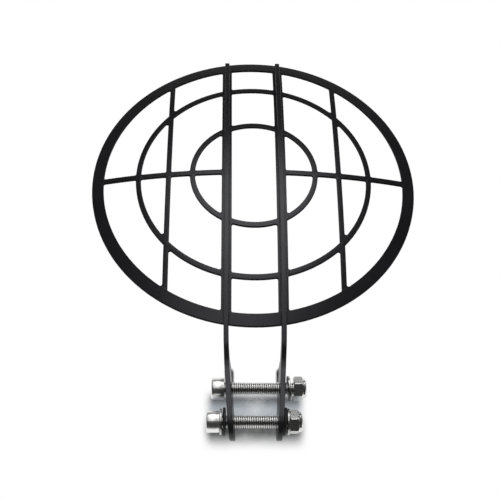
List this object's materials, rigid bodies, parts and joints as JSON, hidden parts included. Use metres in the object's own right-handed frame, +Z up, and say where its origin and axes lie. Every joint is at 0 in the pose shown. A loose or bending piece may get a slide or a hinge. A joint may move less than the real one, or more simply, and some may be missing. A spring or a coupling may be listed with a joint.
{
  "type": "headlight grille",
  "caption": "Round domed headlight grille of black coated steel rings and bars, carried on blade plates whose lugs are bolted to a lamp bracket.",
  "frame": {"origin": "on the middle plane, midway between the two bolts' axes, in the middle of the lugs' depth", "axes": "+Z up as fitted, along the blades; -Y forward, the way the dome faces; X along the bolts, nuts at +X"},
  "size_m": [0.164, 0.0358, 0.215],
  "materials": {
    "coated_steel": "satin black powder coat",
    "bright_steel": "bright, turned and rolled",
    "nylon": "natural nylon",
    "rubber": "matt black"
  },
  "bodies": {
    "root": {"grille_lattice": "coated_steel", "left_blade": "coated_steel", "right_blade": "coated_steel", "upper_bolt": "bright_steel", "lower_bolt": "bright_steel", "upper_nut": "bright_steel", "lower_nut": "bright_steel", "upper_nut_washer": "bright_steel", "lower_head_washer": "bright_steel", "lower_nut_washer": "bright_steel", "upper_nut_insert": "nylon", "lower_nut_insert": "nylon", "left_rubber_washer": "rubber", "right_rubber_washer": "rubber"}
  },
  "joints": []
}
